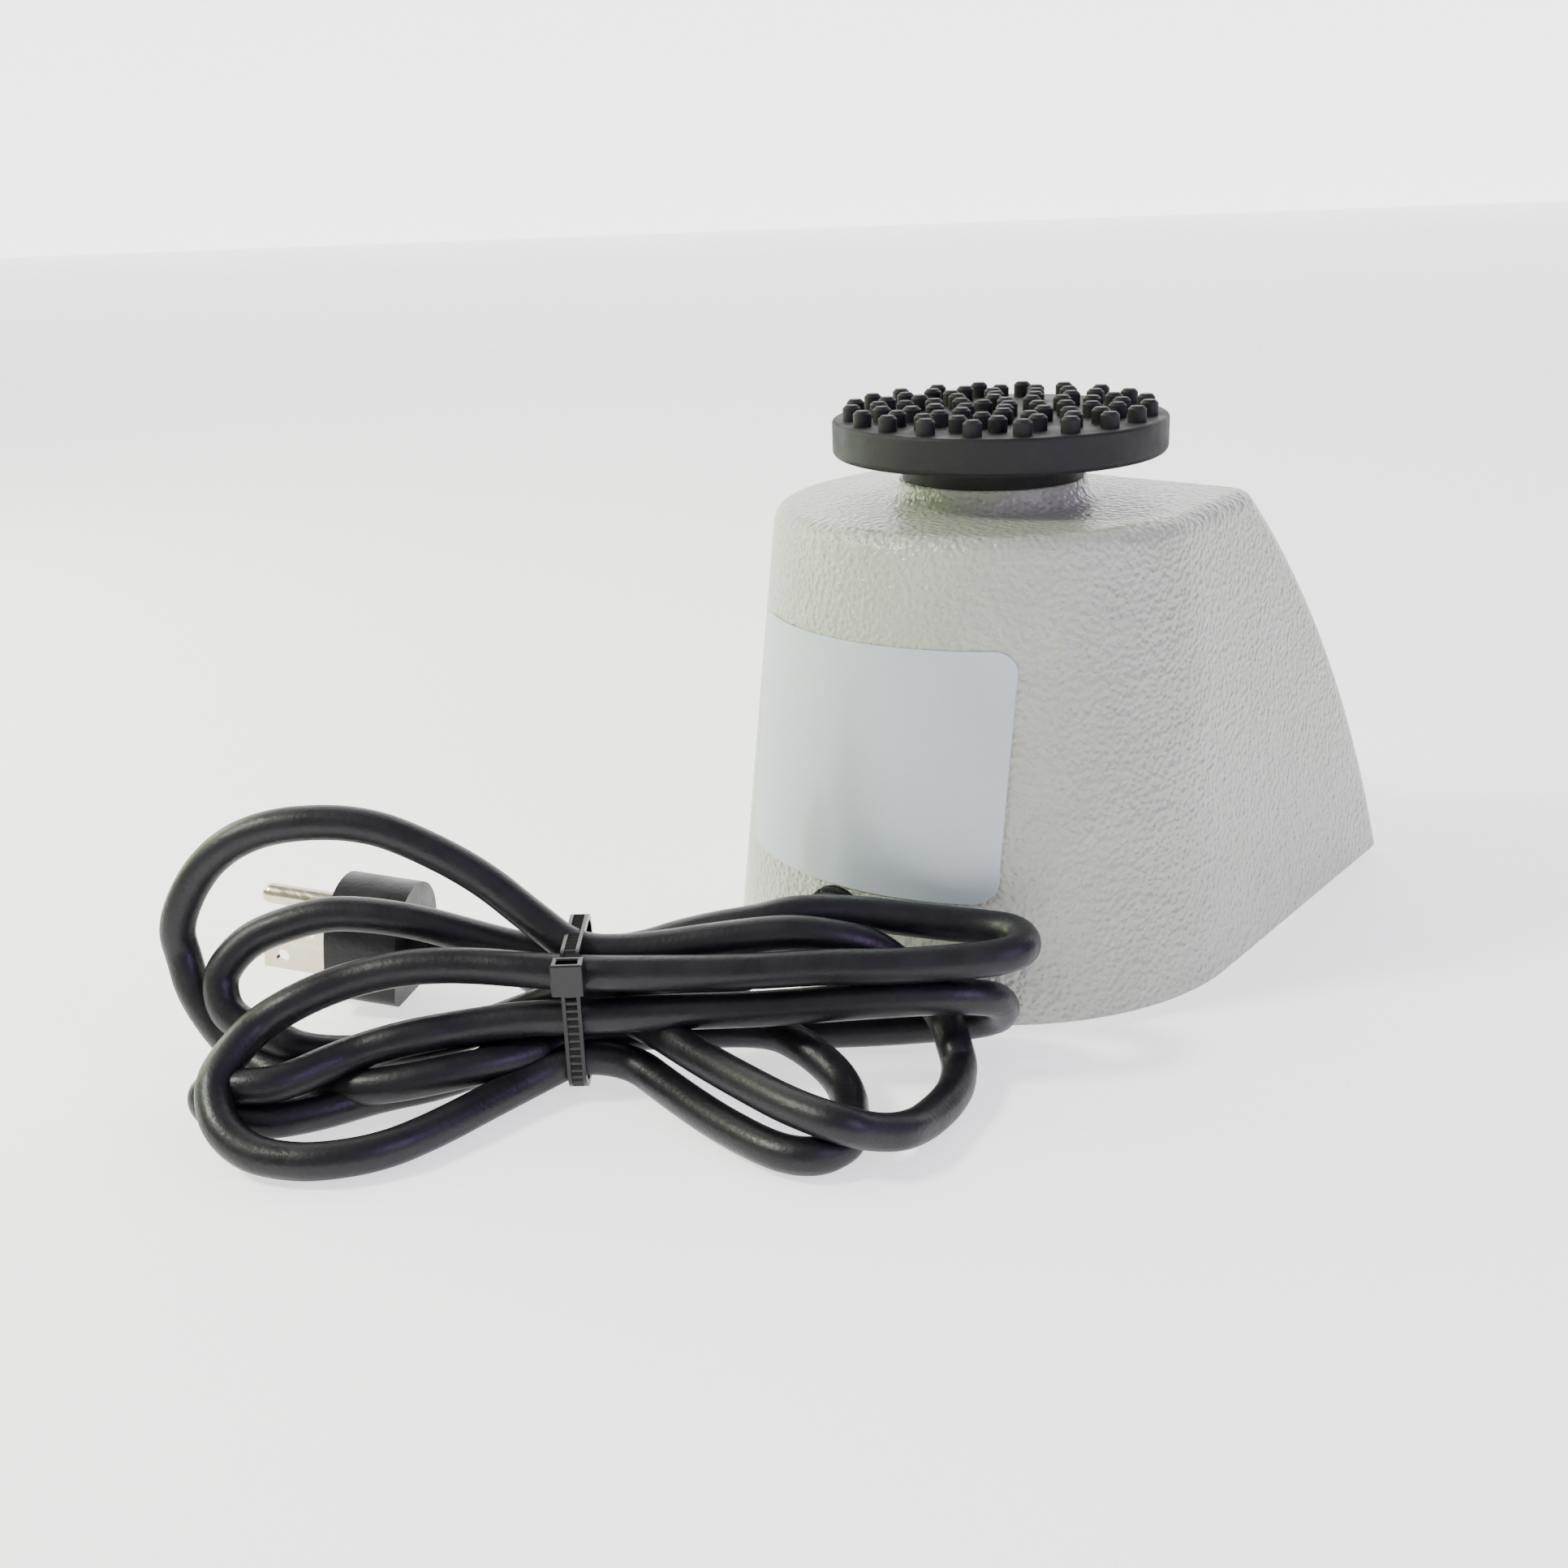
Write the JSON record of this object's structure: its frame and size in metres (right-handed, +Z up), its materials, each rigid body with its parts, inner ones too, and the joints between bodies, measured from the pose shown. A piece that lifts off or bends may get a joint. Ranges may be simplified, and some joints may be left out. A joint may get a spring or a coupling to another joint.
{
  "type": "vortex mixer",
  "caption": "Laboratory shaker with a domed metal housing, a round studded rubber platform on an eccentric drive, a speed knob, a rocker switch and a tied mains cord.",
  "frame": {"origin": "middle of the housing's footprint on the surface it stands on, without the cord", "axes": "+Z up, controls face -Y, the cord leaves towards +Y"},
  "size_m": [0.1741, 0.2969, 0.1275],
  "materials": {
    "housing_paint": "light grey powder coat with a fine orange-peel texture, satin gloss",
    "platform_rubber": "matte moulded black rubber",
    "label_film": "silvery pale blue film, slight sheen, blank",
    "black_rubber": "matte black rubber",
    "cord_pvc": "satin black soft PVC",
    "black_nylon": "satin black nylon",
    "knob_plastic": "satin black thermoplastic",
    "pointer_paint": "matte white",
    "overlay_film": "dark grey printed film",
    "switch_plastic": "semi-gloss black thermoplastic",
    "steel": "machined steel",
    "zinc_steel": "zinc plated steel",
    "aluminium": "turned or cast aluminium",
    "bronze": "oiled sintered bronze",
    "lamination": "varnished stacked laminations",
    "copper": "enamelled copper winding",
    "brass": "bright nickel-tinted brass",
    "fan_plastic": "natural nylon",
    "board_laminate": "green solder mask",
    "component_plastic": "yellow box casing",
    "dark_plastic": "dark moulded plastic",
    "white_plastic": "off-white moulded plastic"
  },
  "bodies": {
    "mixer": {"housing": "housing_paint", "base_plate": "zinc_steel", "base_screws": "zinc_steel", "rubber_feet": "black_rubber", "panel_overlay": "overlay_film", "rocker_switch_body": "switch_plastic", "potentiometer_body": "zinc_steel", "potentiometer_nut": "zinc_steel", "upper_motor_frame": "aluminium", "lower_motor_frame": "aluminium", "upper_bush": "bronze", "lower_bush": "bronze", "stator_core": "lamination", "field_coils": "copper", "motor_bolts": "zinc_steel", "motor_isolators": "black_rubber", "collar_seal": "black_rubber", "touch_guide": "white_plastic", "touch_switch_body": "dark_plastic", "touch_switch_bracket": "zinc_steel", "control_board": "board_laminate", "board_standoffs": "white_plastic", "board_screws": "zinc_steel", "film_capacitor": "component_plastic", "speed_triac": "dark_plastic", "triac_heatsink": "aluminium", "filter_choke": "copper", "terminal_block": "white_plastic", "terminal_screws": "zinc_steel", "earth_screw": "zinc_steel", "rear_label": "label_film", "strain_relief": "black_rubber", "cord_lead": "cord_pvc", "cord_hank": "cord_pvc", "cord_plug_lead": "cord_pvc", "cable_tie": "black_nylon", "plug_body": "cord_pvc", "plug_blades": "brass", "plug_earth_pin": "brass"},
    "float": {"thrust_cup": "white_plastic", "touch_arm": "zinc_steel", "return_spring": "steel"},
    "rotor": {"motor_shaft": "steel", "rotor_core": "lamination", "cooling_fan": "fan_plastic", "eccentric_crank": "steel", "crank_set_screw": "zinc_steel", "counterweight": "steel", "bearing_inner_race": "steel", "bearing_screw": "zinc_steel"},
    "head": {"bearing_outer_race": "steel", "bearing_balls": "steel", "head_plate": "aluminium", "rubber_platform": "platform_rubber"},
    "plunger": {"touch_plunger": "white_plastic"},
    "dial": {"dial_shaft": "steel", "speed_knob": "knob_plastic", "knob_pointer": "pointer_paint"},
    "rocker": {"rocker_paddle": "switch_plastic"}
  },
  "joints": [
    {"name": "touch_press", "type": "slide", "parent": "mixer", "child": "float", "axis": [0, 0, 1], "range_m": [-0.0015, 0], "stiffness_N_per_m": 2000, "springref_m": 0.006, "deforming": ["return_spring"]},
    {"name": "plunger_slide", "type": "slide", "parent": "mixer", "child": "plunger", "axis": [0, 0, 1], "range_m": [-0.0015, 0]},
    {"name": "rotor_spin", "type": "hinge", "parent": "float", "child": "rotor", "pos_m": [0, 0.021, 0.1], "axis": [0, 0, 1], "continuous": true},
    {"name": "head_hold", "type": "hinge", "parent": "rotor", "child": "head", "pos_m": [0, 0.01855, 0.115], "axis": [0, 0, 1], "continuous": true},
    {"name": "speed_turn", "type": "hinge", "parent": "mixer", "child": "dial", "pos_m": [0.02, -0.06235, 0.04593], "axis": [0, 0.8747, -0.4847], "range_deg": [0, 270]},
    {"name": "power_rock", "type": "hinge", "parent": "mixer", "child": "rocker", "pos_m": [-0.02, -0.06358, 0.04661], "axis": [1, 0, 0], "range_deg": [-12, 12]}
  ],
  "couplings": [
    {"joint": "plunger_slide", "follows": "touch_press", "ratio": 1},
    {"joint": "head_hold", "follows": "rotor_spin", "ratio": -1}
  ]
}
